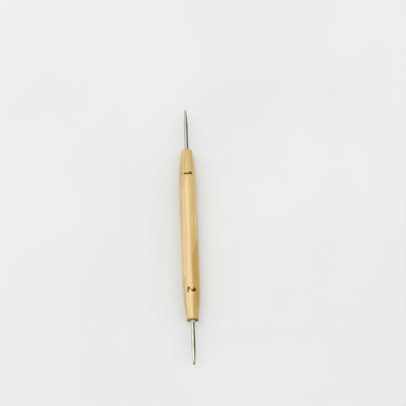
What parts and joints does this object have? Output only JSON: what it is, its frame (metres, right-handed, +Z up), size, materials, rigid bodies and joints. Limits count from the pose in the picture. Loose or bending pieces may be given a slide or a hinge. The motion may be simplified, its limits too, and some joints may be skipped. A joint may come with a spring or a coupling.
{
  "type": "embossing stylus",
  "caption": "Double-ended embossing stylus: a turned wooden handle with a tapered steel shank and a small ball tip at each end, numbered for the ball's size.",
  "frame": {"origin": "on the axis, in the middle of the handle's straight length", "axes": "+X along the axis from the No. 1 end to the No. 2 end, +Z up through the numerals, +Y towards the numerals' tops"},
  "size_m": [0.152, 0.01, 0.01],
  "materials": {
    "wood": "fine straight grain under a thin satin lacquer",
    "shank_steel": "drawn and lightly turned, with fine marks",
    "ball_steel": "polished, darker than the shanks",
    "glue": "cured clear amber glue"
  },
  "bodies": {
    "root": {"handle": "wood", "shank_1": "shank_steel", "shank_2": "shank_steel", "ball_1": "ball_steel", "ball_2": "ball_steel", "adhesive_1": "glue", "adhesive_2": "glue"}
  },
  "joints": []
}
